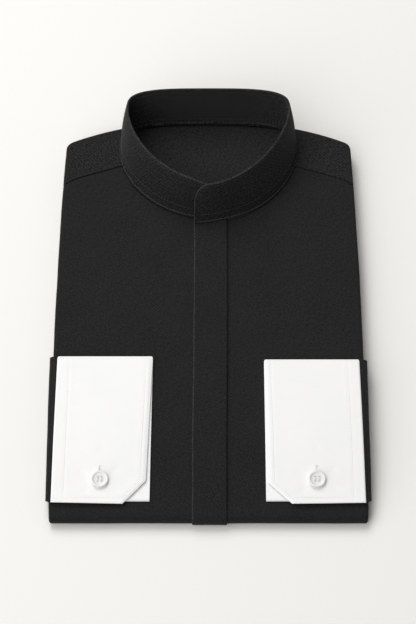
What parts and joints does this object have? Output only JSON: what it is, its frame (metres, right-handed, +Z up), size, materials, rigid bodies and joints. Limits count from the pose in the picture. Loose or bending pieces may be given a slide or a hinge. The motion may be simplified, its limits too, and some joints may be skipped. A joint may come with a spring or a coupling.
{
  "type": "clergy shirt",
  "caption": "Folded black clergy shirt lying flat, with a standing neckband, a concealed button front and buttoned white cuffs.",
  "frame": {"origin": "bottom centre of the folded shirt's box, on the surface it lies on", "axes": "+X towards the wearer's left, +Y from the bottom fold to the neckband, +Z up out of the fronts"},
  "size_m": [0.2458, 0.3588, 0.0515],
  "materials": {
    "body_cloth": "fine black twill",
    "placket_cloth": "fine black twill, pressed",
    "yoke_cloth": "fine black twill",
    "band_cloth": "fine black twill, stiffened",
    "sleeve_cloth": "fine black twill",
    "cuff_cloth": "white cotton, pressed",
    "button": "pearly white"
  },
  "bodies": {
    "root": {"front_left": "body_cloth", "front_right": "body_cloth", "placket": "placket_cloth", "yoke": "yoke_cloth", "yoke_inner": "yoke_cloth", "collar_band": "band_cloth", "sleeve_left": "sleeve_cloth", "sleeve_right": "sleeve_cloth", "cuff_left": "cuff_cloth", "cuff_right": "cuff_cloth", "button_left": "button", "button_right": "button", "folded_layers": "body_cloth"}
  },
  "joints": []
}
